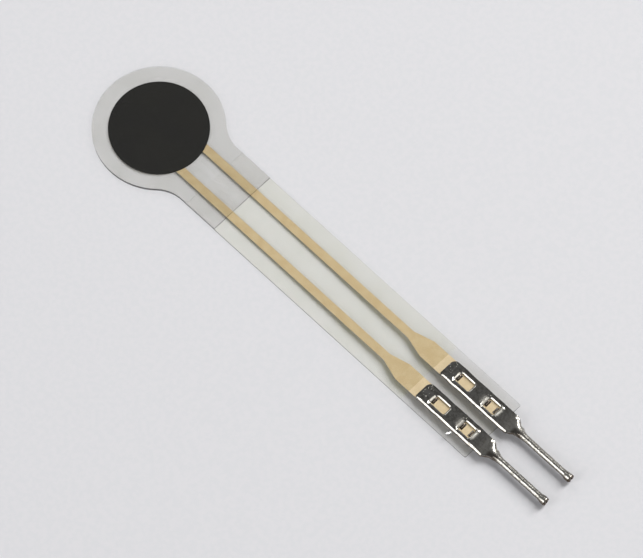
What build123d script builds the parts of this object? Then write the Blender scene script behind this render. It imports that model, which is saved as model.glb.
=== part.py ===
"""Force sensing resistor: a printed polyester keyhole with two crimped solder contacts.

The sensing disc lies at the origin, the tail runs along +X to the pins, +Z is the pressed side
and z = 0 is the underside of the lower film. All sizes are in millimetres.
"""

import os
from math import sqrt

from build123d import *
from build123d.topology import SkipClean

# Outline of the films: the tail and the upper film's neck are measured from the head's rim
disc_diameter = 7.5
ring_width = 1.2
tail_length = 29.4
tail_width = 5.75
tail_corner = 0.1
neck_radius = 2.8
neck_length = 3.7

# Thickness of the layers
base_thickness = 0.125
silver_thickness = 0.02
coat_thickness = 0.04
spacer_thickness = 0.07
carbon_thickness = 0.02
top_thickness = 0.1

# Spacer ring and its air vent
well_margin = 0.3
vent_width = 0.5

# Protective coat over the traces, tucked under the upper film and stopping short of the contacts
coat_overlap = 2.9
coat_gap = 0.65

# Printed silver
trace_width = 0.65
trace_pitch = 2.48
flare_length = 1.65
flare_gap = 2.05
pad_width = 1.56
pad_margin = 0.35
bus_inset = 0.1
bus_width = 0.3
bus_split = 0.6
finger_width = 0.25
finger_gap = 0.25
finger_end_margin = 0.35

# Contact plates, stamped from tinned sheet, reaching past the end of the tail
contact_pitch = 2.54
sheet = 0.2
plate_length = 7.25
plate_width = 1.58
plate_overhang = 1.35
nose_corner = 0.38
shoulder = 0.5
plate_edge_roll = 0.12

# Pierced windows: distance from the nose, length, width, reach and spread of the dome round each
front_window = (1.12, 1.36, 0.75, 0.2, 0.2)
rear_window = (4.0, 1.05, 0.83, 0.45, 0.22)
window_corner = 0.12
rim_crest = 0.11
rim_height = 0.07
rim_lip = 0.045

# Lances that go down through the film and curl under it
lance_width = 0.52
lance_foot = 0.42
lance_point = 0.16
slot_clearance = 0.03

# Rolled pins
pin_diameter = 0.52
pin_length = 5.3
root_width = 0.86
root_overlap = 0.25
root_length = 1.15
tip_diameter = 0.66
tip_length = 0.75
tip_band = 0.3
tip_flare = 0.02
tip_chamfer = 0.12
core_diameter = 0.14
seam_width = 0.05

# Places along the tail, worked out from the sizes above
head_diameter = disc_diameter + 2 * ring_width
disc_radius = disc_diameter / 2
tail_end = head_diameter / 2 + tail_length
top_film_end = head_diameter / 2 + neck_length
plate_end = tail_end + plate_overhang
plate_start = plate_end - plate_length
coat_start = top_film_end - coat_overlap
coat_end = plate_start - coat_gap
flare_end = plate_start - flare_gap
flare_start = flare_end - flare_length
pin_start = plate_end - root_overlap + root_length
pin_end = plate_end + pin_length

# Heights, worked out from the layers
silver_top = base_thickness + silver_thickness
spacer_top = base_thickness + spacer_thickness
plate_top = silver_top + sheet
pin_height = plate_top - pin_diameter / 2

# Comb of fingers: as many as fit inside the bus ring
bus_outer = disc_radius - bus_inset
bus_inner = bus_outer - bus_width
finger_pitch = finger_width + finger_gap
finger_reach = bus_inner - finger_gap - finger_end_margin - finger_width / 2
fingers_each_way = int(finger_reach / finger_pitch)

sides = {"left": 1, "right": -1}
windows = (front_window, rear_window)

# Each lance: where its window's wall stands and which way its foot points, -1 towards the head
lances = (
    (plate_start + front_window[0], -1),
    (plate_start + rear_window[0], -1),
    (plate_start + rear_window[0] + rear_window[1], 1),
)


def keyhole(end, corner=0.0):
    """Sketch of the round head with its tail, cut square at x = end."""
    with BuildSketch() as outline:
        Circle(head_diameter / 2)
        Rectangle(end, tail_width, align=(Align.MIN, Align.CENTER))
        fillet(outline.vertices().group_by(Axis.X)[0], neck_radius)
        if corner:
            fillet(outline.vertices().group_by(Axis.X)[-1], corner)
    return outline.sketch


def chord(radius, x):
    """Half the width of a circle at x."""
    return sqrt(radius**2 - x**2)


def slots():
    """Sketch of the slits that the lances of both contacts cut in the film and its print."""
    with BuildSketch() as cuts:
        for side in sides.values():
            for wall, way in lances:
                with Locations((wall - way * sheet / 2, side * contact_pitch / 2)):
                    Rectangle(sheet + 2 * slot_clearance, lance_width + 2 * slot_clearance)
    return cuts.sketch


def comb(side):
    """Sketch of one electrode: half of the bus ring, its fingers, the trace and the pad."""
    trace_y = side * trace_pitch / 2
    pad_y = side * contact_pitch / 2
    with BuildSketch() as pattern:
        Circle(bus_outer)
        Circle(bus_inner, mode=Mode.SUBTRACT)
        with Locations((0, side * bus_split / 2)):
            half_plane = (Align.CENTER, Align.MAX if side > 0 else Align.MIN)
            Rectangle(2 * disc_diameter, disc_diameter, align=half_plane, mode=Mode.SUBTRACT)
        for index in range(-fingers_each_way, fingers_each_way + 1):
            owner = -1 if index % 2 == 0 else 1
            if owner == side:
                x = index * finger_pitch
                outer_x = abs(x) + finger_width / 2
                root = chord((bus_outer + bus_inner) / 2, outer_x)
                free_end = chord(bus_inner - finger_gap, outer_x)
                with Locations((x, side * (root - free_end) / 2)):
                    Rectangle(finger_width, root + free_end)
        trace_start = chord((bus_outer + bus_inner) / 2, (trace_pitch + trace_width) / 2)
        with Locations((trace_start, trace_y)):
            Rectangle(flare_start - trace_start, trace_width, align=(Align.MIN, Align.CENTER))
        Polygon(
            (flare_start, trace_y - trace_width / 2),
            (flare_end, pad_y - pad_width / 2),
            (flare_end, pad_y + pad_width / 2),
            (flare_start, trace_y + trace_width / 2),
            align=None,
        )
        with Locations((flare_end, pad_y)):
            Rectangle(tail_end - pad_margin - flare_end, pad_width, align=(Align.MIN, Align.CENTER))
    return pattern.sketch


def lance_profile(wall, way):
    """Side view of one lance: it rolls off the window's wall, passes the film and curls under it."""
    with BuildSketch() as strip:
        with BuildLine():
            Line((wall, silver_top), (wall, plate_top))
            roll = RadiusArc((wall, plate_top), (wall - way * sheet, silver_top), way * sheet)
            Line(roll @ 1, (wall - way * sheet, -sheet))
            Polyline(
                (wall - way * sheet, -sheet),
                (wall + way * lance_foot, -sheet),
                (wall + way * lance_foot, 0),
                (wall, 0),
                (wall, silver_top),
            )
        make_face()
        curl = strip.vertices().group_by(Axis.Y)[0].sort_by(Axis.X)
        fillet(curl[-1] if way < 0 else curl[0], sheet)
    return strip.sketch


def pin_profile():
    """Half section of the rolled pin, from its root to the swollen tip."""
    pin_radius = pin_diameter / 2
    tip_radius = tip_diameter / 2
    with BuildSketch() as section:
        with BuildLine():
            Polyline(
                (pin_start, 0),
                (pin_start, pin_radius),
                (pin_end - tip_length, pin_radius),
                (pin_end - tip_band, tip_radius - tip_flare),
                (pin_end - tip_chamfer, tip_radius),
                (pin_end, tip_radius - tip_chamfer),
                (pin_end, 0),
                close=True,
            )
        make_face()
    return section.sketch


# Lower film, clear polyester, slit where the contacts are crimped on. The head and neck, which get
# stuck down, keep a face of their own on the underside.
with BuildPart() as base_film:
    with BuildSketch():
        add(keyhole(top_film_end))
    extrude(amount=base_thickness)
    with BuildSketch():
        add(keyhole(tail_end, tail_corner))
        add(keyhole(top_film_end), mode=Mode.SUBTRACT)
        add(slots(), mode=Mode.SUBTRACT)
    with SkipClean():
        extrude(amount=base_thickness, clean=False)
base_film.part.label = "base_film"

# Silver electrodes, each with fingers that mesh with the other's under the sensing disc
electrodes = {}
for name, side in sides.items():
    with BuildPart() as electrode:
        with BuildSketch(Plane.XY.offset(base_thickness)):
            add(comb(side))
            add(slots(), mode=Mode.SUBTRACT)
        extrude(amount=silver_thickness)
    electrode.part.label = f"electrode_{name}"
    electrodes[name] = electrode

# Protective coat, printed over the traces along the tail
with BuildPart() as cover_coat:
    with BuildSketch(Plane.XY.offset(base_thickness)):
        add(keyhole(coat_end))
        with Locations((coat_start, 0)):
            Rectangle(
                2 * head_diameter, 2 * head_diameter, align=(Align.MAX, Align.CENTER), mode=Mode.SUBTRACT
            )
    extrude(amount=coat_thickness)
    for electrode in electrodes.values():
        add(electrode.part, mode=Mode.SUBTRACT)
cover_coat.part.label = "cover_coat"

# Adhesive spacer: a ring round the sensing disc and the neck, with the vent that lets air out
with BuildPart() as spacer_adhesive:
    with BuildSketch(Plane.XY.offset(base_thickness)):
        add(keyhole(top_film_end))
        Circle(disc_radius + well_margin, mode=Mode.SUBTRACT)
        Rectangle(
            2 * top_film_end, vent_width, align=(Align.MIN, Align.CENTER), mode=Mode.SUBTRACT
        )
    extrude(amount=spacer_thickness)
    for electrode in electrodes.values():
        add(electrode.part, mode=Mode.SUBTRACT)
    add(cover_coat.part, mode=Mode.SUBTRACT)
spacer_adhesive.part.label = "spacer_adhesive"

# Carbon disc, printed on the underside of the upper film just clear of the fingers
with BuildPart() as sensing_layer:
    with BuildSketch(Plane.XY.offset(spacer_top - carbon_thickness)):
        Circle(disc_radius)
    extrude(amount=carbon_thickness)
sensing_layer.part.label = "sensing_layer"

# Upper film, a short keyhole cut square across the neck
with BuildPart() as top_film:
    with BuildSketch(Plane.XY.offset(spacer_top)):
        add(keyhole(top_film_end))
    extrude(amount=top_thickness)
top_film.part.label = "top_film"

# Contacts: plate, pierced windows with raised rims, lances curled under the film, rolled pin
contacts = {}
for name, side in sides.items():
    middle = side * contact_pitch / 2
    with BuildPart() as contact:
        with BuildSketch(Plane((0, middle, silver_top))) as blank:
            with Locations((plate_start, 0)):
                Rectangle(plate_length, plate_width, align=(Align.MIN, Align.CENTER))
            fillet(blank.vertices().group_by(Axis.X)[0], nose_corner)
            chamfer(blank.vertices().group_by(Axis.X)[-1], shoulder)
        extrude(amount=sheet)
        fillet(contact.faces().sort_by(Axis.Z)[-1].edges(), plate_edge_roll)

        for start, length, width, reach, spread in windows:
            centre = plate_start + start + length / 2
            with BuildSketch(Plane((centre, middle, plate_top))):
                RectangleRounded(length + 2 * reach, width + 2 * spread, window_corner + spread)
            with BuildSketch(Plane((centre, middle, plate_top + rim_height))):
                RectangleRounded(length + 2 * rim_crest, width + 2 * rim_crest, window_corner + rim_crest)
            loft()
            with BuildSketch(Plane((centre, middle, silver_top))):
                RectangleRounded(length, width, window_corner)
            extrude(amount=sheet + rim_height, mode=Mode.SUBTRACT)
        for crest in contact.faces().group_by(Axis.Z)[-1]:
            chamfer(crest.inner_wires().edges(), rim_lip)

        for wall, way in lances:
            with BuildSketch(Plane.XZ.offset(-middle)):
                add(lance_profile(wall, way))
            extrude(amount=lance_width / 2, both=True)
        points = contact.edges().filter_by(Axis.Z).filter_by_position(Axis.Z, -sheet, 0)
        chamfer(points, lance_point)

        root_plane = Plane((plate_end - root_overlap, middle, silver_top + sheet / 2), (0, 1, 0), (1, 0, 0))
        with BuildSketch(root_plane):
            Ellipse(root_width / 2, sheet / 2)
        with BuildSketch(Plane((pin_start, middle, pin_height), (0, 1, 0), (1, 0, 0))):
            Circle(pin_diameter / 2)
        loft()
        with BuildSketch(Plane((0, middle, pin_height), (1, 0, 0), (0, -1, 0))):
            add(pin_profile())
        revolve(axis=Axis((0, middle, pin_height), (1, 0, 0)))
        with BuildSketch(Plane((pin_start, middle, pin_height), (0, 1, 0), (1, 0, 0))):
            Circle(core_diameter / 2)
            Rectangle(seam_width, pin_diameter, align=(Align.CENTER, Align.MAX))
        extrude(amount=pin_end - pin_start, mode=Mode.SUBTRACT)
    contact.part.label = f"contact_{name}"
    contacts[name] = contact

os.makedirs("parts", exist_ok=True)
films = [base_film, cover_coat, spacer_adhesive, sensing_layer, top_film]
for piece in films + list(electrodes.values()) + list(contacts.values()):
    export_step(piece.part, f"parts/{piece.part.label}.step")
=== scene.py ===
"""Force sensing resistor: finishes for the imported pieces, the contacts' formed sheet and a small studio.

The frame is the part's own: the sensing disc lies at the origin, the tail runs along +X to the pins
and +Z is the pressed side. Lengths are in metres unless a name ends in _mm or a docstring says so.
"""

import logging
from dataclasses import dataclass, field
from enum import Enum
from math import cos, pi, radians, sin
from typing import Any, Sequence

import bpy
import numpy as np
from mathutils import Matrix, Vector

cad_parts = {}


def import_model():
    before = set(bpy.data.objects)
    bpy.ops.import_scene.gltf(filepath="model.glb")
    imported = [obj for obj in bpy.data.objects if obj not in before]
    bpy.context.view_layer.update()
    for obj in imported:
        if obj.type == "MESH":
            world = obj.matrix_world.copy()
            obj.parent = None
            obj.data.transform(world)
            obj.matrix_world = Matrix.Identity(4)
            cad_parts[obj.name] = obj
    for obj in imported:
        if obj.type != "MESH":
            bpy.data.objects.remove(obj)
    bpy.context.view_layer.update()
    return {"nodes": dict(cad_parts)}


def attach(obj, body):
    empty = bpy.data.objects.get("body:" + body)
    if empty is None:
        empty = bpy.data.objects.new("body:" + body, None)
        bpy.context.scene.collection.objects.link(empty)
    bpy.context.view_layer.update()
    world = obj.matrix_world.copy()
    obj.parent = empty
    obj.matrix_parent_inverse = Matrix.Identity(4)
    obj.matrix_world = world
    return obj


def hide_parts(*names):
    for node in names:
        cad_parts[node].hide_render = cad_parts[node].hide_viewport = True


LOG = logging.getLogger("force_sensor")
MM = 0.001
MICRON = 1e-6
BODY = "root"
IMAGE_WIDTH = 643

Colour = tuple[float, float, float, float]
Profile = tuple[tuple[float, ...], tuple[float, ...]]
Socket = bpy.types.NodeSocket
Object = bpy.types.Object
Array = np.ndarray


def linear(hex_code: str) -> Colour:
    """Turns an sRGB hex colour into linear light.

    Args:
        hex_code: six hex digits after a hash.

    Returns:
        Linear red, green and blue, with an alpha of 1.
    """
    values = [int(hex_code[i : i + 2], 16) / 255 for i in (1, 3, 5)]
    light = [v / 12.92 if v <= 0.04045 else ((v + 0.055) / 1.055) ** 2.4 for v in values]
    return (*light, 1.0)


class Mark(Enum):
    """What a point of the contacts carries for their finish: its name as a mesh attribute."""

    WORN = "worn"
    DULL = "dull"
    # Bare bronze at the cropped end, and the same brown painted as shade elsewhere on the contacts.
    BRONZE_AND_SHADE = "bronze_and_shade"


class Side(Enum):
    """Which of the two contacts, with the sign of its place across the tail."""

    LEFT = 1
    RIGHT = -1


@dataclass
class NodeTree:
    """The nodes of a material or of the world."""

    tree: bpy.types.NodeTree

    def add(self, kind: str, links: dict[Any, Any] | None = None, **settings: Any) -> bpy.types.Node:
        """Adds one node.

        Args:
            kind: the node's type name, such as "ShaderNodeTexNoise".
            links: input name or index to either an output socket or a plain value.
            **settings: properties of the node itself.

        Returns:
            The new node.
        """
        node = self.tree.nodes.new(kind)
        for name, value in settings.items():
            setattr(node, name, value)
        for name, value in (links or {}).items():
            if isinstance(value, Socket):
                self.tree.links.new(value, node.inputs[name])
            else:
                node.inputs[name].default_value = value
        return node

    def calc(self, operation: str, *values: Any, clamp: bool = False) -> Socket:
        """Adds one step of arithmetic.

        Args:
            operation: the step, such as "MULTIPLY".
            *values: what goes in, each a socket or a number.
            clamp: whether the result is held from 0 to 1.

        Returns:
            The result.
        """
        return self.add("ShaderNodeMath", dict(enumerate(values)), operation=operation, use_clamp=clamp).outputs[0]

    def choose(self, factor: Socket, first: Any, second: Any) -> Socket:
        """Mixes two numbers or two colours.

        Args:
            factor: 0 gives the first and 1 the second.
            first: a number, a hex colour or a socket.
            second: the same kind of thing.

        Returns:
            The mixed number or colour.
        """
        first, second = (linear(value) if isinstance(value, str) else value for value in (first, second))
        colours = isinstance(second, tuple) or getattr(second, "type", "") == "RGBA"
        inputs = {0: factor, 6: first, 7: second} if colours else {0: factor, 2: first, 3: second}
        mixed = self.add("ShaderNodeMix", inputs, data_type="RGBA" if colours else "FLOAT")
        return mixed.outputs[2 if colours else 0]

    def ramp(self, value: Socket, low: float, high: float, start: float = 0.0, end: float = 1.0) -> Socket:
        """Maps a value along a smooth step.

        Args:
            value: what is mapped.
            low: where the step begins.
            high: where it ends.
            start: the result at low.
            end: the result at high.

        Returns:
            The mapped value.
        """
        inputs = {"Value": value, "From Min": low, "From Max": high, "To Min": start, "To Max": end}
        return self.add("ShaderNodeMapRange", inputs, interpolation_type="SMOOTHSTEP").outputs["Result"]

    def speckle(self, grain_mm: float, detail: float = 2.0, roughness: float = 0.5) -> Socket:
        """Adds noise in the part's own coordinates.

        Args:
            grain_mm: the size of one grain of the pattern.
            detail: octaves of finer noise.
            roughness: how strong the finer octaves are.

        Returns:
            The noise's value, from 0 to 1.
        """
        settings = {"Scale": 1 / (grain_mm * MM), "Detail": detail, "Roughness": roughness}
        return self.add("ShaderNodeTexNoise", {"Vector": self.coordinate(), **settings}).outputs["Fac"]

    def bump(self, height: Socket, strength: float, depth: Any, under: Socket | None = None) -> Socket:
        """Raises a pattern on the surface.

        Args:
            height: the pattern.
            strength: how much of it shows.
            depth: its depth, a number or a socket.
            under: the normal of a coarser pattern that carries it.

        Returns:
            The new normal.
        """
        inputs = {"Height": height, "Strength": strength, "Distance": depth}
        return self.add("ShaderNodeBump", inputs if under is None else {**inputs, "Normal": under}).outputs[0]

    def coordinate(self, kind: str = "Object", axis: str = "") -> Socket:
        """Adds the point's coordinates, or one of them.

        Args:
            kind: which coordinates, by default the part's own.
            axis: X, Y or Z for only that one.

        Returns:
            The vector, or the one coordinate.
        """
        vector = self.add("ShaderNodeTexCoord").outputs[kind]
        return self.add("ShaderNodeSeparateXYZ", {"Vector": vector}).outputs[axis] if axis else vector

    def walls(self) -> Socket:
        """Tells a sheet's cut edges from its faces, by how far the surface turns away from the vertical.

        Returns:
            0 on the flat faces and 1 on the walls.
        """
        return self.ramp(self.calc("ABSOLUTE", self.coordinate("Normal", "Z")), 0.3, 0.7, 1.0, 0.0)

    def outline(self, radius_mm: float = 4.4, middle_mm: float = 2.0) -> Socket:
        """Tells the walls on the part's outline from those of the hole and the vent inside it.

        Args:
            radius_mm: a radius round the head's middle, between the hole and the outline.
            middle_mm: a distance from the tail's middle line, between the vent and the outline.

        Returns:
            1 on the walls along the outline and 0 elsewhere.
        """
        reach = self.add("ShaderNodeVectorMath", {0: self.coordinate()}, operation="LENGTH").outputs["Value"]
        beyond = self.calc("GREATER_THAN", reach, radius_mm * MM)
        away = self.calc("ABSOLUTE", self.coordinate("Object", "Y"))
        aside = self.calc("GREATER_THAN", away, middle_mm * MM)
        return self.calc("MULTIPLY", self.calc("MULTIPLY", beyond, aside), self.walls())

    def within(self, start_mm: float, end_mm: float) -> Socket:
        """Picks a stretch of the part along X.

        Args:
            start_mm: where the stretch begins.
            end_mm: where it ends.

        Returns:
            1 within the stretch and 0 beyond it.
        """
        x = self.coordinate("Object", "X")
        after, before = self.calc("GREATER_THAN", x, start_mm * MM), self.calc("LESS_THAN", x, end_mm * MM)
        return self.calc("MULTIPLY", after, before)


@dataclass(frozen=True)
class Finish:
    """What a surface is finished with: each kind works out what goes into its shader."""

    name: str

    def sockets(self, tree: NodeTree) -> dict[str, Any]:
        """Works out what goes into the shader.

        Args:
            tree: where the nodes go.

        Returns:
            The shader's inputs, by name, where they aren't at their defaults.
        """
        raise NotImplementedError

    def make(self) -> bpy.types.Material:
        """Makes the material.

        Returns:
            The finished material.
        """
        material = bpy.data.materials.new(self.name)
        material.use_nodes = True
        material.node_tree.nodes.clear()
        tree = NodeTree(material.node_tree)
        body = tree.add("ShaderNodeBsdfPrincipled", self.sockets(tree))
        tree.add("ShaderNodeOutputMaterial", {"Surface": body.outputs[0]})
        return material


@dataclass(frozen=True)
class ClearFilm(Finish):
    """Biaxially stretched polyester film, extruded clear and die cut.

    It reads as almost nothing over white: a slight grey, and at low angles a painted sheen, where it covers
    more with its tint and so shows more of its own gloss. A cut edge is painted as a near-black line from
    outside, a painted shade for the light that runs in the film and is lost, and as a faint dark line from
    inside, where the edge mirrors the paper. Its face is slightly matt and greyer where no coat or glue wets it.
    """

    face_tint: str = "#8f9448"
    bare_tint: str = "#6b6a48"
    # Near-black tint of the painted shade on the cut edges.
    edge_shade_tint: str = "#12110f"
    face_cover: float = 0.08
    bare_cover: float = 0.088
    wetted_mm: tuple[float, float] = (-10.0, 50.0)
    # How much of the cut walls the painted edge shade covers, seen from outside and from inside.
    edge_shade_cover: float = 0.97
    inner_edge_shade_cover: float = 0.06
    # How much the tint covers at glancing angles, a painted sheen.
    painted_sheen_cover: float = 0.25
    haze_mm: float = 2.5
    roughness: float = 0.16
    refraction: float = 1.6
    clear_hole: bool = False

    def sockets(self, tree: NodeTree) -> dict[str, Any]:
        """Works out the film's tint and how much of what lies under it it covers.

        Args:
            tree: where the nodes go.

        Returns:
            The shader's inputs.
        """
        edge = tree.outline() if self.clear_hole else tree.walls()
        haze = tree.ramp(tree.speckle(self.haze_mm, 3.0), 0.35, 0.65, 0.9, 1.1)
        wetted = tree.within(*self.wetted_mm)
        cover = tree.calc("MULTIPLY", haze, tree.choose(wetted, self.bare_cover, self.face_cover))
        # Painted shade on the cut walls: near-black and nearly opaque from outside, faint from inside.
        inside = tree.add("ShaderNodeNewGeometry").outputs["Backfacing"]
        cut = tree.choose(inside, self.edge_shade_cover, self.inner_edge_shade_cover)
        # A painted sheen: the film covers more at glancing angles with its tint, and so also shows more of its own
        # gloss.
        glancing = tree.add("ShaderNodeLayerWeight", {"Blend": 0.5}).outputs["Facing"]
        gloss = tree.ramp(glancing, 0.45, 1.0, 0.0, self.painted_sheen_cover)
        face = tree.choose(wetted, self.bare_tint, self.face_tint)
        return {
            "Base Color": tree.choose(edge, face, self.edge_shade_tint),
            "Alpha": tree.calc("ADD", tree.choose(edge, cover, cut), gloss, clamp=True),
            "Roughness": self.roughness,
            "IOR": self.refraction,
        }


@dataclass(frozen=True)
class SilverInk(Finish):
    """Silver-filled polymer ink, screen printed and baked.

    The binder yellows the silver to a warm beige, and the flakes leave a fine, barely glinting grain. It
    is paler where it lies bare, past the end of the coat.
    """

    name: str = "printed silver ink"
    flake_tint: str = "#cfbd94"
    binder_tint: str = "#c0a97e"
    bare_flake_tint: str = "#dfcca7"
    bare_binder_tint: str = "#d1bc95"
    coated_mm: tuple[float, float] = (-10.0, 27.8)
    grain_mm: float = 0.07
    mesh_mm: float = 0.6
    metallic: float = 0.15
    roughness: float = 0.55

    def sockets(self, tree: NodeTree) -> dict[str, Any]:
        """Works out the ink's grain, coated and bare.

        Args:
            tree: where the nodes go.

        Returns:
            The shader's inputs.
        """
        grain = tree.ramp(tree.speckle(self.grain_mm, 3.0), 0.3, 0.7)
        cloud = tree.ramp(tree.speckle(self.mesh_mm), 0.35, 0.7, 0.0, 0.5)
        flakes = tree.calc("SUBTRACT", grain, cloud, clamp=True)
        coated = tree.within(*self.coated_mm)
        binder = tree.choose(coated, self.bare_binder_tint, self.binder_tint)
        flake = tree.choose(coated, self.bare_flake_tint, self.flake_tint)
        return {
            "Base Color": tree.choose(flakes, binder, flake),
            "Metallic": self.metallic,
            "Roughness": self.roughness,
            "Normal": tree.bump(grain, 0.25, 4 * MICRON),
        }


@dataclass(frozen=True)
class ClearCoat(Finish):
    """Clear ultraviolet-cured dielectric, screen printed over the traces.

    It deepens and warms the silver a little and hardly shows on the bare film.
    """

    name: str = "dielectric coat"
    tint: str = "#b9a678"
    cover: float = 0.014
    grain_mm: float = 0.5
    roughness: float = 0.3

    def sockets(self, tree: NodeTree) -> dict[str, Any]:
        """Works out the coat's uneven cover.

        Args:
            tree: where the nodes go.

        Returns:
            The shader's inputs.
        """
        cloud = tree.ramp(tree.speckle(self.grain_mm, 3.0), 0.3, 0.7, 0.7 * self.cover, 1.3 * self.cover)
        alpha = tree.choose(tree.walls(), cloud, 5 * self.cover)
        return {"Base Color": linear(self.tint), "Alpha": alpha, "Roughness": self.roughness}


@dataclass(frozen=True)
class TinPlate(Finish):
    """Phosphor bronze sheet, electroplated with bright tin, then stamped.

    The plating mirrors its surroundings, with a mottle of darker and duller grains that the die left. The
    bronze shows brown where the sheet was cropped, and partly along the sheared near edge. The same brown
    is painted shade on the lances, on the pin's flanks, on the narrowed shoulder and along the near edge.
    """

    name: str = "tin plated bronze"
    bright_tint: str = "#cdcac2"
    dull_tint: str = "#a5a299"
    # Brown of bare bronze, also used to paint shade.
    bronze_and_shade_tint: str = "#54463a"
    mottle_mm: float = 0.22
    mottle_dulling: float = 0.12
    pit_mm: float = 0.07
    dent_mm: float = 0.3
    dent_depth_mm: float = 0.012
    roughness: float = 0.08
    dull_roughness: float = 0.42

    def sockets(self, tree: NodeTree) -> dict[str, Any]:
        """Works out the plating's mottle, dents and pits, how the marks dull it, and where they tint it brown as
        bare bronze and as painted shade.

        Args:
            tree: where the nodes go.

        Returns:
            The shader's inputs.
        """
        worn, dull, bronze_and_shade = (
            tree.add("ShaderNodeAttribute", attribute_name=mark.value).outputs["Fac"] for mark in Mark
        )
        mottle = tree.ramp(tree.speckle(self.mottle_mm, 4.0, 0.6), 0.38, 0.66)
        plating = tree.choose(mottle, self.bright_tint, self.dull_tint)
        dulled = tree.calc("MULTIPLY_ADD", mottle, self.mottle_dulling, dull, clamp=True)
        dents = tree.ramp(tree.speckle(self.dent_mm, 3.0, 0.6), 0.3, 0.7)
        dented = tree.bump(dents, 1.0, tree.calc("MULTIPLY", worn, self.dent_depth_mm * MM))
        pits = tree.ramp(tree.speckle(self.pit_mm), 0.45, 0.7)
        return {
            # The brown is bare bronze at the cropped end, and painted shade on the lances, the pin's flanks, the
            # shoulder and the near edge.
            "Base Color": tree.choose(bronze_and_shade, plating, self.bronze_and_shade_tint),
            "Metallic": 1.0,
            "Roughness": tree.calc("MULTIPLY_ADD", dulled, self.dull_roughness - self.roughness, self.roughness),
            "Normal": tree.bump(pits, 0.12, 4 * MICRON, dented),
        }


@dataclass(frozen=True)
class Grained(Finish):
    """An opaque surface in two tints, mixed by a grain between two values of its noise and raised by it."""

    tint: str
    grain_tint: str
    grain_mm: float
    detail: float
    low: float
    high: float
    roughness: float
    metallic: float = 0.0
    refraction: float = 1.5
    raised_um: float = 0.0

    def sockets(self, tree: NodeTree) -> dict[str, Any]:
        """Works out the grain.

        Args:
            tree: where the nodes go.

        Returns:
            The shader's inputs.
        """
        grain = tree.ramp(tree.speckle(self.grain_mm, self.detail), self.low, self.high)
        relief = {"Normal": tree.bump(grain, 0.3, self.raised_um * MICRON)} if self.raised_um else {}
        return {
            "Base Color": tree.choose(grain, self.tint, self.grain_tint),
            "Metallic": self.metallic,
            "Roughness": self.roughness,
            "IOR": self.refraction,
            **relief,
        }


# Carbon-loaded force sensing ink, screen printed and dried. Seen through the film it is an even, matt,
# near-black disc with a faint tooth. The film that it is printed on wets it, so it has hardly any gloss.
CARBON_INK = Grained(
    "carbon sensing ink", "#1d1d20", "#252528", 0.09, 3, 0.35, 0.7, 0.62, refraction=1.12, raised_um=3
)

# Polyester film with a fold pressed into it. Light turns back inside the fold, so it mirrors a lamp as
# bare metal does, a bit broken up by fine grain.
FOLDED_FILM = Grained("folded polyester film", "#fbfbf9", "#e2e2dd", 0.08, 2, 0.4, 0.65, 0.22, metallic=1)

# Uncoated white paper, matt, with a faint fibre mottle.
PAPER = Grained("white paper", "#dedddf", "#dbdbdd", 0.4, 4, 0.35, 0.65, 0.9)


@dataclass(frozen=True)
class Layer:
    """One printed or laminated layer: its finish, its solids, its lift and whether it casts a shadow."""

    finish: Finish
    solids: tuple[str, ...]
    lift_um: float = 0.0
    shadow: bool = False


@dataclass
class Laminate:
    """The printed films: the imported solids, each dressed in the finish of its own layer, from the bottom up.

    Layers that touch share a plane, which a ray can miss, so each is lifted by a few micrometres. The
    clear layers cast no shadow, and neither does the disc, because the light that the film scatters under
    the real one fills it.
    """

    nodes: dict[str, Object]
    layers: tuple[Layer, ...] = (
        Layer(ClearFilm("lower polyester film", wetted_mm=(8.65, 27.8)), ("base_film",)),
        Layer(SilverInk(), ("electrode_left", "electrode_right"), 2, True),
        Layer(ClearCoat(), ("cover_coat",), 4),
        Layer(
            ClearFilm(
                "adhesive spacer", face_tint="#a5975f", face_cover=0.01, edge_shade_cover=0.8, inner_edge_shade_cover=0.0,
                painted_sheen_cover=0.0, roughness=0.4, clear_hole=True
            ),
            ("spacer_adhesive",), 4
        ),
        Layer(CARBON_INK, ("sensing_layer",)),
        Layer(ClearFilm("upper polyester film", face_tint="#545340", face_cover=0.06), ("top_film",), 8),
    )

    def dress(self) -> None:
        """Puts each layer's finish on its solids."""
        for layer in self.layers:
            material = layer.finish.make()
            for name in layer.solids:
                node = self.nodes[name]
                if not node.material_slots:
                    node.data.materials.append(material)
                for slot in node.material_slots:
                    slot.material = material
                node.visible_shadow = layer.shadow
                if layer.lift_um:
                    shift = node.modifiers.new("lift", "DISPLACE")
                    shift.direction, shift.mid_level, shift.strength = "Z", 0.0, layer.lift_um * MICRON
                LOG.info("dressed %s", name)


@dataclass
class Shell:
    """A surface: points in millimetres, the quads between them and the marks that points carry."""

    points: Array
    quads: Array
    marks: dict[Mark, Array] = field(default_factory=dict)


def smooth_step(value: Array, low: float, high: float) -> Array:
    """Rises from 0 at low to 1 at high along the curve 3 t squared less 2 t cubed.

    Args:
        value: where to read the curve.
        low: its foot.
        high: its top.

    Returns:
        The curve's height at each value.
    """
    t = np.clip((value - low) / (high - low), 0.0, 1.0)
    return t * t * (3 - 2 * t)


def plateau(value: Array, span: Sequence[float]) -> Array:
    """Rises along one smooth step and falls again along another.

    Args:
        value: where to read the curve.
        span: where it begins to rise, is full, begins to fall and is gone.

    Returns:
        The curve's height at each value, from 0 to 1.
    """
    return smooth_step(value, *span[:2]) * (1 - smooth_step(value, *span[2:]))


def quarter_round(depth: Array, radius: float) -> Array:
    """Drop of a rounded edge: a quarter circle that falls by its radius at depth 0 and by nothing beyond it.

    Args:
        depth: distance in from the edge.
        radius: the quarter circle's radius.

    Returns:
        The drop at each depth.
    """
    inside = np.clip(1 - depth / radius, 0.0, 1.0)
    return radius * (1 - np.sqrt(1 - inside**2))


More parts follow.
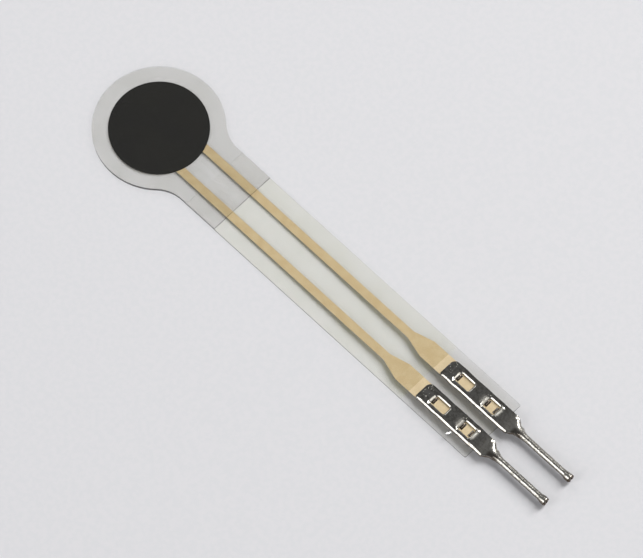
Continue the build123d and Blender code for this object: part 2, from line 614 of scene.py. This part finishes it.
def stations(keys: Sequence[float], step: float) -> Array:
    """Spreads grid lines over a length so that every key value has a line of its own.

    Args:
        keys: values that need a line, in rising order.
        step: the widest space between lines.

    Returns:
        The lines' places.
    """
    runs = [np.linspace(a, b, max(int(np.ceil((b - a) / step)), 1), endpoint=False) for a, b in zip(keys, keys[1:])]
    return np.concatenate([*runs, [keys[-1]]])


def closed_sheet(upper: Array, lower: Array, kept: Array, marks: dict[Mark, Array]) -> Shell:
    """Makes one closed shell of two grids of points, one over the other.

    Each kept cell gives a quad on the upper grid, wound to face up, and one on the lower, wound to face
    down. An edge that only one kept cell has gets a wall from the upper grid to the lower.

    Args:
        upper: rows by columns by 3, the upper surface.
        lower: the same for the lower surface.
        kept: one truth value a cell, false where the sheet is pierced.
        marks: for each kind of mark, rows by columns of its strength.

    Returns:
        The shell.
    """
    rows, columns = upper.shape[:2]
    index = np.arange(rows * columns).reshape(rows, columns)
    a, b, c, d = (part[kept] for part in (index[:-1, :-1], index[1:, :-1], index[1:, 1:], index[:-1, 1:]))
    top = np.stack([a, b, c, d], -1)
    bottom = top[:, ::-1] + rows * columns
    edges = np.concatenate([top[:, [k, (k + 1) % 4]] for k in range(4)])
    _, inverse, counts = np.unique(np.sort(edges, axis=1), axis=0, return_inverse=True, return_counts=True)
    rim = edges[counts[inverse.ravel()] == 1]
    walls = np.stack([rim[:, 1], rim[:, 0], rim[:, 0] + rows * columns, rim[:, 1] + rows * columns], -1)
    points = np.concatenate([upper.reshape(-1, 3), lower.reshape(-1, 3)])
    quads = np.concatenate([top, bottom, walls])
    used, renumbered = np.unique(quads, return_inverse=True)
    spread = {mark: np.tile(strength.ravel(), 2)[used] for mark, strength in marks.items()}
    return Shell(points[used], renumbered.reshape(quads.shape), spread)


def swept_strip(path: Array, half_width: Array, half_thickness: Array, middle: float) -> Shell:
    """Carries a rounded rectangle along a path in the XZ plane and closes both ends.

    The section at each station is a superellipse of power 5, its long way along Y and its short way
    along the path's normal. A fan of quads closes each end at its own centre, and the quads are turned
    round where the volume that they enclose comes out negative.

    Args:
        path: stations by 2, the X and Z of the strip's middle line.
        half_width: half the strip's width at each station.
        half_thickness: half its thickness at each station.
        middle: the Y of the strip's middle.

    Returns:
        The shell.
    """
    angle = np.linspace(0, 2 * pi, 32, endpoint=False)
    across, through = (np.sign(part) * np.abs(part) ** 0.4 for part in (np.cos(angle), np.sin(angle)))
    tangent = np.gradient(path, axis=0)
    tangent /= np.linalg.norm(tangent, axis=1, keepdims=True)
    normal = np.stack([-tangent[:, 1], tangent[:, 0]], -1)
    x, z = (path[:, [k]] + normal[:, [k]] * half_thickness[:, None] * through for k in (0, 1))
    rings = np.stack([x, middle + half_width[:, None] * across, z], -1)
    index = np.arange(x.size).reshape(x.shape)
    ahead = np.roll(index, -1, axis=1)
    walls = np.stack([index[:-1], ahead[:-1], ahead[1:], index[1:]], -1).reshape(-1, 4)
    even, odd, after = index[:, 0::2], index[:, 1::2], ahead[:, 1::2]
    near = np.stack([odd[0], even[0], np.full_like(even[0], x.size), after[0]], -1)
    far = np.stack([even[-1], odd[-1], after[-1], np.full_like(even[-1], x.size + 1)], -1)
    points = np.concatenate([rings.reshape(-1, 3), rings[[0, -1]].mean(axis=1)])
    quads = np.concatenate([walls, near, far])
    corners = points[quads]
    volume = (np.cross(corners[:, 2] - corners[:, 0], corners[:, 3] - corners[:, 1]) * corners.mean(axis=1)).sum()
    return Shell(points, quads if volume > 0 else quads[:, ::-1])


def into_scene(name: str, data: Any) -> Object:
    """Makes an object and puts it in the scene.

    Args:
        name: the object's name.
        data: its mesh, lamp or camera.

    Returns:
        The object.
    """
    made = bpy.data.objects.new(name, data)
    bpy.context.scene.collection.objects.link(made)
    return made


def add_piece(name: str, shells: Sequence[Shell], finish: bpy.types.Material, sharp_deg: float) -> Object:
    """Makes one object of several surfaces, smooth but for its sharp edges, with its place in its mesh.

    Args:
        name: the object's name.
        shells: the surfaces, in millimetres.
        finish: its material.
        sharp_deg: edges that turn by more than this stay sharp.

    Returns:
        The object.
    """
    starts = np.cumsum([0] + [len(shell.points) for shell in shells])
    points = np.concatenate([shell.points for shell in shells]) * MM
    quads = np.concatenate([shell.quads + start for shell, start in zip(shells, starts)])
    mesh = bpy.data.meshes.new(name)
    mesh.from_pydata(points.tolist(), [], quads.tolist())
    mesh.shade_smooth()
    mesh.set_sharp_from_angle(angle=radians(sharp_deg))
    for mark in Mark:
        strength = [shell.marks.get(mark, np.zeros(len(shell.points))) for shell in shells]
        mesh.attributes.new(mark.value, "FLOAT", "POINT").data.foreach_set("value", np.concatenate(strength))
    mesh.materials.append(finish)
    return into_scene(name, mesh)


@dataclass(frozen=True)
class Window:
    """A window pierced through the plate, with the dome that the punch raised round it.

    Sizes are in millimetres: start is its distance from the nose, and reach and spread say how far the
    dome runs along and across the plate. It rises by side_height beside the window and by end_height
    past its ends, and is level over the crest's width. The lip's profile gives depths in from its edge,
    and the drop at each of them. A place on the plate is s from the nose and t across.
    """

    start: float
    length: float
    width: float
    reach: float
    spread: float
    side_height: float
    end_height: float
    corner: float = 0.12
    crest: float = 0.05
    profile: Profile = ((0, 0.01, 0.025, 0.11, 0.135, 0.16), (0.096, 0.079, 0.063, 0.009, 0.002, 0))

    @property
    def end(self) -> float:
        """Where the window ends.

        Returns:
            The end's distance from the nose.
        """
        return self.start + self.length

    def past_end(self, s: Array) -> Array:
        """Distance past the nearer end.

        Args:
            s: places along the plate.

        Returns:
            The distance, negative between the ends.
        """
        return np.abs(s - self.start - self.length / 2) - self.length / 2

    def beyond(self, s: Array, t: Array) -> Array:
        """Distance outside the window's outline, a rectangle with rounded corners.

        Args:
            s, t: places on the plate.

        Returns:
            The distance, and 0 inside.
        """
        along, across = self.past_end(s) + self.corner, np.abs(t) - self.width / 2 + self.corner
        outside = np.hypot(np.maximum(along, 0), np.maximum(across, 0))
        return np.maximum(outside + np.minimum(np.maximum(along, across), 0) - self.corner, 0)

    def dome(self, s: Array, t: Array) -> Array:
        """Height of the dome, level over the crest's width and then down along a smooth step.

        Args:
            s, t: places on the plate.

        Returns:
            The height.
        """
        along, across = np.maximum(self.past_end(s), 0), np.maximum(np.abs(t) - self.width / 2, 0)
        away = np.hypot(along / self.reach, across / self.spread)
        level = self.crest * np.maximum((along > 0) / self.reach, (across > 0) / self.spread)
        past = smooth_step(self.past_end(s), -0.05, 0.12)
        height = self.side_height + (self.end_height - self.side_height) * past
        return height * (1 - smooth_step(away, np.minimum(0.35 * level, 0.3), 1.0))

    def lip(self, s: Array, t: Array) -> Array:
        """Drop of the lip that the punch drew into the window, larger at the nose's end.

        Args:
            s, t: places on the plate.

        Returns:
            The drop.
        """
        drawn = 1 + 0.7 * smooth_step(self.start + 0.1 - s, 0.0, 0.15)
        return np.interp(self.beyond(s, t) / drawn, *self.profile) * drawn

    def halo(self, s: Array, t: Array) -> Array:
        """How dull the drawn metal is past the window's ends, further along on the nose's side.

        Args:
            s, t: places on the plate.

        Returns:
            The dulling, from 0 to 1.
        """
        ahead, behind = self.start - s, s - self.start - self.length
        along = np.where(ahead > behind, ahead, behind * 1.5)
        beside = 1 - smooth_step(np.abs(t) - self.width / 2, -0.25, 0.3)
        return 0.9 * ((1 - smooth_step(along, 0.15, 0.9)) * beside) ** 2 * (along > 0)

    def corner_pull(self, p: Array, q: Array) -> tuple[Array, Array]:
        """Moves points near a window's corner so that the window's outline rounds it.

        A point on either side, at a distance a from the corner, goes to the quarter circle at the angle
        45 degrees times 1 less a over the radius. Points further into the plate go by less.

        Args:
            p: distance into the window from its end wall.
            q: distance into the window from its side wall.

        Returns:
            How far each point moves into the window along p and q.
        """
        radius = self.corner
        a = np.clip(np.maximum(p, q), 0, radius)
        depth = np.where((p < 0) & (q < 0), np.hypot(p, q), np.maximum(-np.minimum(p, q), 0))
        turn = pi / 4 * (1 - a / radius)
        long_way, short_way = radius * (1 - np.sin(turn)) - a, radius * (1 - np.cos(turn))
        fade = np.clip(1 - depth / 0.13, 0, 1) ** 2 * (np.minimum(p, q) <= 1e-9) * (np.maximum(p, q) < radius)
        on_side = p >= q
        return np.where(on_side, long_way, short_way) * fade, np.where(on_side, short_way, long_way) * fade


@dataclass
class Contact:
    """One contact, stamped of tinned sheet: plate, two windows, three lances and the rolled pin.

    Sizes are in millimetres. The strip is worked out flat, as the distance s from the nose and t across,
    and then curled down into the pin. Names that end in _at or _from, and the spans, are values of s. A
    profile gives depths in from an edge, and the drop at each of them.
    """

    side: Side
    pitch: float = 2.54
    start: float = 28.45
    underside: float = 0.145
    sheet: float = 0.2
    half_width: float = 0.79
    far_corner: float = 0.47
    near_corner: float = 0.17
    near_edge: Profile = ((0, 0.01, 0.03, 0.05, 0.15, 0.18, 0.21), (0.15, 0.125, 0.1, 0.074, 0.01, 0.002, 0))
    far_edge: Profile = ((0, 0.004), (0.006, 0))
    flange: Profile = ((0, 0.02, 0.24, 0.3), (0.13, 0.1, 0.012, 0))
    flange_span: Sequence[float] = (6.35, 6.6, 7.0, 7.4)
    edge_wave: float = 0.22
    side_wobble: float = 0.02
    wobble_from: float = 0.5
    plate_wave: float = 0.004
    pin_wave: float = 0.006
    overhang: float = 0.03
    under_roll: float = 0.03
    curl_from: float = 6.5
    shoulder_at: float = 6.65
    # Where the narrowed shoulder's near side gets painted shade.
    painted_pinch_shade_span: Sequence[float] = (6.75, 7.0, 7.5, 7.9)
    neck_at: float = 7.1
    pin_at: float = 8.15
    end: float = 12.55
    pin_radius: float = 0.26
    seam: float = 0.05
    tip_length: float = 0.75
    tip_swell: float = 0.07
    tip_roll: float = 0.09
    tip_ragged: float = 0.05
    lance_width: float = 0.52
    lance_foot: float = 0.42
    lance_point: float = 0.16
    lance_sink: float = 0.13
    grid_step: float = 0.05
    windows: tuple[Window, Window] = (
        Window(1.12, 1.36, 0.75, 0.24, 0.2, 0.01, 0.018),
        Window(4.0, 1.05, 0.83, 0.4, 0.24, 0.01, 0.05),
    )

    def unevenness(self, s: Array, t: Array, seed: int, wave: float) -> Array:
        """Gentle waviness: the mean of nine plane sine waves, each with its own heading and start.

        Args:
            s, t: places on the strip.
            seed: picks the waves.
            wave: the mean wavelength.

        Returns:
            A height from about -1 to 1.
        """
        rng = np.random.default_rng(seed + (10 if self.side is Side.RIGHT else 0))
        heading, phase = rng.uniform(0, 2 * pi, (2, 9))
        number = 2 * pi / (wave * rng.uniform(0.6, 1.5, 9))
        turns = np.multiply.outer(s, np.cos(heading) * number) + np.multiply.outer(t, np.sin(heading) * number)
        return np.sin(turns + phase).mean(-1) * 2

    def corner(self, t: Array) -> Array:
        """Radius of the nose's corner, which is tighter at the near edge, on the -Y side.

        Args:
            t: places across the strip.

        Returns:
            The radius on that side.
        """
        return np.where(t < 0, self.near_corner, self.far_corner)

    def half_breadth(self, s: Array, t: Array) -> Array:
        """Half the flat strip's width: a quarter circle at the nose, then straight, then down the shoulders.

        Args:
            s: places along the strip.
            t: places across it, of which only the side counts.

        Returns:
            Half the width there.
        """
        body = self.half_width - quarter_round(s, self.corner(t))
        turn = (2 * pi * self.pin_radius - self.seam) / (2 * self.pin_radius)
        fall = np.clip((s - self.shoulder_at) / (self.neck_at - self.shoulder_at), 0, 1)
        return body * (1 - fall) + turn * self.mid_radius(s) * fall

    def mid_radius(self, s: Array) -> Array:
        """Radius of the middle of the sheet where it is rolled: the pin's, and more in the swollen tip.

        Args:
            s: places along the strip.

        Returns:
            The radius there.
        """
        swell = self.tip_swell * smooth_step(s, self.end - self.tip_length, self.end - 0.25)
        return self.pin_radius - self.sheet / 2 + swell

    def grid(self) -> tuple[Array, Array, Array]:
        """Lays out the flat strip's grid, with lines along each window's edges and closer ones at every rim.

        A cell is left out where it lies in a window. The lines' ends at a window's corners are drawn in
        along a quarter circle, and their neighbours follow by less and less.

        Returns:
            s and t at each crossing, and one truth value a cell.
        """
        rim = np.array([0.0, 0.012, 0.03, 0.055, 0.09, 0.13, 0.17, 0.21])
        edge = np.array([0.0, 0.005, 0.015, 0.03, 0.05, 0.075, 0.1, 0.13, 0.17])
        tail = np.array([0.12, 0.07, 0.035, 0.012, 0.0])
        keys = list(self.far_corner * (1 - np.cos(np.linspace(0, pi / 2, 12))))
        for window in self.windows:
            first, last = window.start, window.end
            keys += [*(first - rim[::-1]), *(first + rim[1:4]), *(last - rim[3:0:-1]), *(last + rim)]
        keys += [self.curl_from, self.shoulder_at, self.neck_at, self.pin_at]
        keys += [self.end - self.tip_length, *(self.end - tail)]
        s = stations(keys, self.grid_step)[:, None]
        front, rear = self.windows
        share = smooth_step(s, front.end, rear.start)
        opening = (front.width * (1 - share) + rear.width * share) / 2
        outside = self.half_width - edge + 0 * opening
        lines = np.sort(np.concatenate([opening * np.linspace(0, 1, 9), opening + rim[1:], outside], axis=1), axis=1)
        full = np.concatenate([-lines[:, :0:-1], lines], axis=1) / self.half_width
        t = full * self.half_breadth(s, full)
        s = np.broadcast_to(s, t.shape).copy()
        mid_s = (s[1:, 1:] + s[:-1, 1:]) / 2
        mid_t = (t[1:, 1:] + t[1:, :-1] + t[:-1, 1:] + t[:-1, :-1]) / 4
        kept = np.ones(mid_s.shape, bool)
        for window in self.windows:
            kept &= ~((window.past_end(mid_s) < 0) & (np.abs(mid_t) < window.width / 2))
            for end, wall in ((-1, window.start), (1, window.end)):
                for way in (-1, 1):
                    ds, dt = window.corner_pull((wall - s) * end, window.width / 2 - t * way)
                    s, t = s - ds * end, t - dt * way
        return s, t, kept

    def rim_depth(self, s: Array, t: Array, side: Array) -> Array:
        """Distance in from the strip's rim, which also runs round the nose and its corners.

        Args:
            s, t: places on the strip.
            side: distance in from the nearer side.

        Returns:
            The distance.
        """
        nose = self.corner(t)
        turned = np.hypot(np.maximum(nose - s, 0), np.maximum(np.abs(t) - self.half_width + nose, 0))
        depth = np.where(s < nose, np.minimum(np.minimum(nose - turned, s), side), side)
        depth = np.where((s < nose) & (np.abs(t) < self.half_width - nose), s, depth)
        return np.maximum(depth, 0)

    def faces(self, s: Array, t: Array) -> tuple[Array, Array]:
        """How far each face stands off the sheet's middle.

        Upwards that is half the sheet, less the coined edges and the windows' lips, plus the domes and a
        slight waviness. Downwards it is half the sheet, less the rounded edges.

        Args:
            s, t: places on the strip.

        Returns:
            The upper face's distance and the lower one's.
        """
        side = np.maximum(self.half_breadth(s, t) - np.abs(t), 0)
        depth = self.rim_depth(s, t, side)
        rolled = smooth_step(s, self.pin_at - 0.6, self.pin_at)
        thin = quarter_round(self.end - s, self.tip_roll) * 0.9
        near = smooth_step(-t, -0.1, 0.3) * smooth_step(s, 0.0, self.corner(t))
        flange = plateau(s, self.flange_span) * smooth_step(t, 0.0, 0.15)
        wavy = side * (1 + self.edge_wave * self.unevenness(s, 0 * t, 3, 1.3))
        coined = np.interp(wavy, *self.near_edge) * near + np.interp(depth, *self.far_edge) * (1 - near)
        coined = coined * (1 - flange) + np.interp(wavy, *self.flange) * flange
        up = self.sheet / 2 - coined * (1 - 0.6 * rolled)
        for window in self.windows:
            up = up + window.dome(s, t) - window.lip(s, t)
        flat = 1 - smooth_step(s, self.curl_from, self.pin_at)
        up = up + self.plate_wave * self.unevenness(s, t, 1, 0.9) * flat
        up = up + self.pin_wave * self.unevenness(s, t, 2, 0.7) * (1 - flat)
        return up - thin, self.sheet / 2 - quarter_round(depth, self.under_roll) * (1 - rolled) - thin

    def strip(self) -> Shell:
        """Works out the plate and its pin as one sheet.

        The middle of the sheet at t across is a circle's arc: Y is the sine of t over the radius times
        the radius, and it falls by 1 less the cosine. The two faces stand off it along its normal.

        Returns:
            The shell.
        """
        s, t, kept = self.grid()
        radius = self.mid_radius(s)
        curl = smooth_step(s, self.curl_from, self.pin_at)
        bend, flat = np.maximum(curl**1.5 / radius, 1e-4), 1 - curl
        up, down = self.faces(s, t)
        outer = smooth_step(np.abs(t), self.wobble_from, self.half_width)
        wobble = self.side_wobble * self.unevenness(s, 0 * t, 4, 1.6) * smooth_step(s, 0.3, 1.2) * outer
        shift = np.sign(t) * wobble * flat - self.overhang * outer * (t < 0) * flat
        ragged = self.tip_ragged * self.unevenness(0 * s, t, 5, 0.35) * smooth_step(s, self.end - 0.3, self.end)
        crown = self.underside + self.sheet / 2 + (radius - radius[0, 0])
        sine, cosine = np.sin(bend * t), np.cos(bend * t)
        middle = self.side.value * self.pitch / 2
        x, y, z = self.start + s + ragged, middle + sine / bend + shift, crown - (1 - cosine) / bend
        upper = np.stack([x, y + sine * up, z + cosine * up], -1)
        lower = np.stack([x, y - sine * down, z - cosine * down], -1)
        return closed_sheet(upper, lower, kept, self.marks(s, t))

    def marks(self, s: Array, t: Array) -> dict[Mark, Array]:
        """How the plating is marked: dented at the nose and between the windows, dull on the rear, round the
        rear window and on the pin, and bare bronze at the cropped end. The same brown is painted shade on the
        pin's flanks, on the narrowed shoulder and along the near edge, which partly shows its sheared bronze.

        Args:
            s, t: places on the strip.

        Returns:
            For each kind of mark its strength, from 0 to 1.
        """
        front, rear = self.windows
        nose = 1 - smooth_step(s, 0.5, 1.3)
        between = plateau(s, (front.end, 3.0, 3.4, rear.start + 0.2))
        pin = smooth_step(s, self.neck_at, self.pin_at)
        plate_end = smooth_step(s, rear.end, self.curl_from) * (1 - pin)
        cropped = smooth_step(s, self.end - 0.12, self.end - 0.03)
        # Painted shade on the near side of the narrowed shoulder.
        painted_pinch_shade = plateau(s, self.painted_pinch_shade_span) * smooth_step(-t, -0.15, 0.15)
        # Painted shade on the pin's upper, far flank, uneven along it, which dims its sheen.
        painted_far_flank_shade = smooth_step(t, -0.02, 0.2) * pin * (0.55 + 0.45 * self.unevenness(s, t, 6, 0.5))
        # Painted shade on the pin's lower flank, where it faces the shadowed paper.
        painted_low_flank_shade = smooth_step(-t, 0.15, 0.22) * pin
        rim = self.half_breadth(s, t) - np.abs(t)
        # Along the near edge's turned-down rim the brown is partly sheared bronze and partly painted shade under the
        # plate's edge.
        near_edge_bronze_and_shade = (1 - smooth_step(rim, 0.03, 0.06)) * (t < 0) * smooth_step(s, 0.1, 0.3) * (1 - pin)
        # Bare bronze at the cropped end; on the flanks, the shoulder and the near edge the brown is painted shade.
        bronze_and_shade = 0.75 * cropped + 0.9 * painted_far_flank_shade + 0.75 * painted_low_flank_shade + 0.6 * painted_pinch_shade + 0.8 * near_edge_bronze_and_shade
        return {
            Mark.WORN: 0.08 + 0.9 * nose + 0.35 * between + 0.3 * pin,
            Mark.DULL: 0.3 * plate_end + 0.45 * pin + rear.halo(s, t),
            Mark.BRONZE_AND_SHADE: np.clip(bronze_and_shade, 0, 1),
        }

    def lance(self, wall: float, way: int) -> Shell:
        """Works out one lance, which rolls off the window's wall, passes the film and curls under it.

        Its middle line is level in the plate, falls along a quarter circle, goes straight down, turns
        back under the film along another quarter circle and ends level at the foot.

        Args:
            wall: the wall's distance from the nose.
            way: which way the foot points along X.

        Returns:
            The shell.
        """
        half = self.sheet / 2
        top, foot = self.underside + half - self.lance_sink, -half
        arc = np.linspace(0, pi / 2, 9)
        fall = np.stack([half * np.sin(arc), top - half + half * np.cos(arc)], -1)
        back = np.stack([half * np.cos(arc), foot + half - half * np.sin(arc)], -1)
        lead = np.array([[-0.12, top], [-0.06, top]])
        under = np.stack([-np.linspace(0.05, self.lance_foot, 8), np.full(8, foot)], -1)
        path = np.concatenate([lead, fall, back, under])
        reach = np.concatenate([np.zeros(len(path) - len(under)), -under[:, 0]])
        taper = np.clip((reach - self.lance_foot + self.lance_point) / self.lance_point, 0, 1)
        width = self.lance_width / 2 - self.lance_point * taper
        thickness = np.full(len(path), half * 0.96)
        thickness[[0, -1]] *= 0.6
        path = path * np.array([-way, 1.0]) + np.array([self.start + wall, 0.0])
        shell = swept_strip(path, width, thickness, self.side.value * self.pitch / 2)
        # The lances' brown is mostly painted shade of the window's recess, and partly the bronze of their sheared
        # edges.
        shell.marks[Mark.BRONZE_AND_SHADE] = np.full(len(shell.points), 0.85)
        return shell

    def build(self, finish: bpy.types.Material) -> Object:
        """Makes the contact and lets it stand for its solid.

        Args:
            finish: its material.

        Returns:
            The contact's object.
        """
        name = self.side.name.lower()
        front, rear = self.windows
        lances = [self.lance(front.start, -1), self.lance(rear.start, -1), self.lance(rear.end, 1)]
        piece = add_piece(f"formed_contact_{name}", [self.strip(), *lances], finish, sharp_deg=40)
        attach(piece, BODY)
        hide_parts(f"contact_{name}")
        return piece


@dataclass(frozen=True)
class Crease:
    """The short crease that the crimping die pressed into the film beside the near contact.

    Sizes are in millimetres, and start and end are places in the part's plane.
    """

    start: tuple[float, float] = (32.28, -2.11)
    end: tuple[float, float] = (32.05, -2.57)
    half_width: float = 0.065
    film_top: float = 0.126
    thickness: float = 0.003
    ripple: float = 0.007
    ripples: float = 9.3

    def build(self, finish: bpy.types.Material) -> Object:
        """Makes the crease: a narrow ridge whose height follows a sine wave along it.

        Across, the height falls with the square of the distance from the middle line, and the width
        follows half an ellipse from end to end.

        Args:
            finish: its material.

        Returns:
            The crease's object.
        """
        u, v = np.linspace(0, 1, 121)[:, None], np.linspace(-1, 1, 7)[None, :]
        start, run = np.array(self.start), np.subtract(self.end, self.start)
        across = np.array([-run[1], run[0]]) / np.hypot(*run)
        breadth = self.half_width * np.sqrt(np.clip(1 - (2 * u - 1) ** 2, 0.05, 1))
        plan = start + u[..., None] * run + (v * breadth)[..., None] * across
        height = self.ripple * (1 + np.sin(2 * pi * self.ripples * u)) * (1 - 0.6 * v**2)
        upper = np.concatenate([plan, (self.film_top + self.thickness + height)[..., None]], -1)
        lower = np.concatenate([plan, np.full_like(height, self.film_top)[..., None]], -1)
        shell = closed_sheet(upper, lower, np.ones((u.size - 1, v.size - 1), bool), {})
        piece = add_piece("film_crease", [shell], finish, sharp_deg=60)
        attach(piece, BODY)
        return piece


@dataclass(frozen=True)
class Lamp:
    """A soft box or a lit card that faces the sensor.

    bearing_deg is its direction on the paper, turned clockwise from straight behind the sensor as the
    camera sees it, so that 90 is the picture's right. height_deg is its height above the paper, and
    radiance is how bright its face is, where white paper in full light is about 1.
    """

    name: str
    bearing_deg: float
    height_deg: float
    distance: float
    size: tuple[float, float]
    radiance: float
    tint: str = "#ffffff"


@dataclass
class Studio:
    """The paper that the sensor rests on, the lamps, the surroundings that metal mirrors, and the camera."""

    azimuth_deg: float = 46.79
    elevation_deg: float = 66.22
    roll_deg: float = -2.05
    distance: float = 0.77716
    focal_px: float = 10668.8
    target: tuple[float, float, float] = (0.016974, -0.000155, 0.0)
    paper_half: float = 0.9
    gap: float = 0.000012
    spring: float = 0.00014
    spring_span: tuple[float, float] = (0.01, 0.036)
    horizon_light: float = 0.33
    ceiling_light: float = 0.13
    room_tint: str = "#f3f4f8"
    backdrop_tint: str = "#dfdfe3"
    clear_layers: int = 48
    lamps: tuple[Lamp, ...] = (
        Lamp("window behind", 57, 44, 0.7, (0.3, 0.5), 9.9),
        Lamp("soft box left", -111, 32, 0.5, (0.2, 0.42), 3.2, "#fdfdff"),
        Lamp("card behind", -22, 38, 0.5, (0.22, 0.24), 1.5),
        Lamp("card right", 112, 42, 0.5, (0.2, 0.2), 1.6, "#fffdfa"),
    )

    def basis(self) -> tuple[Vector, Vector, Vector]:
        """Works out the camera's level axes from its azimuth and elevation.

        Returns:
            The directions to the camera, to its right and up.
        """
        a, e = radians(self.azimuth_deg), radians(self.elevation_deg)
        back = Vector((sin(a) * cos(e), -cos(a) * cos(e), sin(e)))
        right = Vector((cos(a), sin(a), 0))
        return back, right, back.cross(right)

    def place_camera(self) -> None:
        """Stands a long lens where the photograph was taken from."""
        back, right, up = self.basis()
        data = bpy.data.cameras.new("camera")
        data.sensor_width = 36.0
        data.lens = self.focal_px / IMAGE_WIDTH * data.sensor_width
        data.clip_start, data.clip_end = 0.01, 10.0
        camera = into_scene("camera", data)
        turn = Matrix((right, up, back)).transposed() @ Matrix.Rotation(radians(self.roll_deg), 3, "Z")
        camera.matrix_world = Matrix.Translation(Vector(self.target) + back * self.distance) @ turn.to_4x4()
        bpy.context.scene.camera = camera

    def lay_paper(self, contacts: Sequence[Object]) -> None:
        """Lays the paper under the sensor, level and close under the head and most of the tail.

        The real tail bends up over the crimped contacts. The built one is straight, so the paper falls
        away under it by as much, along a smooth step.

        Args:
            contacts: the contacts' objects, whose lowest point the paper clears.
        """
        lowest = min(corner[2] for contact in contacts for corner in contact.bound_box)
        start, end = self.spring_span
        x = np.concatenate([[-self.paper_half], np.linspace(start, end, 41), [self.paper_half]])
        z = -self.gap + (lowest - self.spring) * smooth_step(x, start, end)
        rows = [np.stack([x, np.full_like(x, y), z], -1) for y in (-self.paper_half, self.paper_half)]
        first = np.arange(len(x) - 1)
        quads = np.stack([first, first + 1, first + 1 + len(x), first + len(x)], -1)
        paper = add_piece("paper", [Shell(np.concatenate(rows) / MM, quads)], PAPER.make(), sharp_deg=60)

    def hang(self, lamp: Lamp) -> None:
        """Hangs a lamp so that it faces the sensor.

        Args:
            lamp: which lamp.
        """
        back, right, _ = self.basis()
        far = Vector((-back.x, -back.y, 0)).normalized()
        bearing, height = radians(lamp.bearing_deg), radians(lamp.height_deg)
        level = far * cos(bearing) + right * sin(bearing)
        towards = level * cos(height) + Vector((0, 0, sin(height)))
        data = bpy.data.lights.new(lamp.name, "AREA")
        data.shape = "RECTANGLE"
        data.size, data.size_y = lamp.size
        data.energy = lamp.radiance * pi * lamp.size[0] * lamp.size[1]
        data.color = linear(lamp.tint)[:3]
        place = Matrix.Translation(Vector(self.target) + towards * lamp.distance)
        into_scene(lamp.name, data).matrix_world = place @ towards.to_track_quat("Z", "Y").to_matrix().to_4x4()

    def surround(self) -> None:
        """Makes the surroundings: a pale band round the horizon and a dark ceiling above the camera."""
        world = bpy.data.worlds.new("room")
        bpy.context.scene.world = world
        world.use_nodes = True
        world.node_tree.nodes.clear()
        tree = NodeTree(world.node_tree)
        height = tree.coordinate("Generated", "Z")
        strength = tree.ramp(height, 0.2, 0.75, self.horizon_light, self.ceiling_light)
        light = tree.add("ShaderNodeBackground", {"Color": linear(self.room_tint), "Strength": strength})
        backdrop = tree.add("ShaderNodeBackground", {"Color": linear(self.backdrop_tint), "Strength": 1.0})
        seen = tree.add("ShaderNodeLightPath").outputs["Is Camera Ray"]
        both = tree.add("ShaderNodeMixShader", {0: seen, 1: light.outputs[0], 2: backdrop.outputs[0]})
        tree.add("ShaderNodeOutputWorld", {"Surface": both.outputs[0]})

    def build(self, contacts: Sequence[Object]) -> None:
        """Sets up the paper, lamps, surroundings and camera.

        Args:
            contacts: the contacts' objects, which the paper clears.
        """
        self.lay_paper(contacts)
        for lamp in self.lamps:
            self.hang(lamp)
        self.surround()
        self.place_camera()
        bpy.context.scene.view_settings.view_transform = "Standard"
        bpy.context.scene.cycles.transparent_max_bounces = self.clear_layers


def main() -> None:
    """Dresses the sensor, builds the studio and reports each piece."""
    logging.basicConfig(level=logging.INFO, format="%(name)s: %(message)s")
    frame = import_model()
    Laminate(frame["nodes"]).dress()
    tin = TinPlate().make()
    contacts = [Contact(side).build(tin) for side in Side]
    for contact in contacts:
        LOG.info("formed %s with %d faces", contact.name, len(contact.data.polygons))
    LOG.info("pressed %s", Crease().build(FOLDED_FILM.make()).name)
    Studio().build(contacts)


if __name__ == "__main__":
    main()
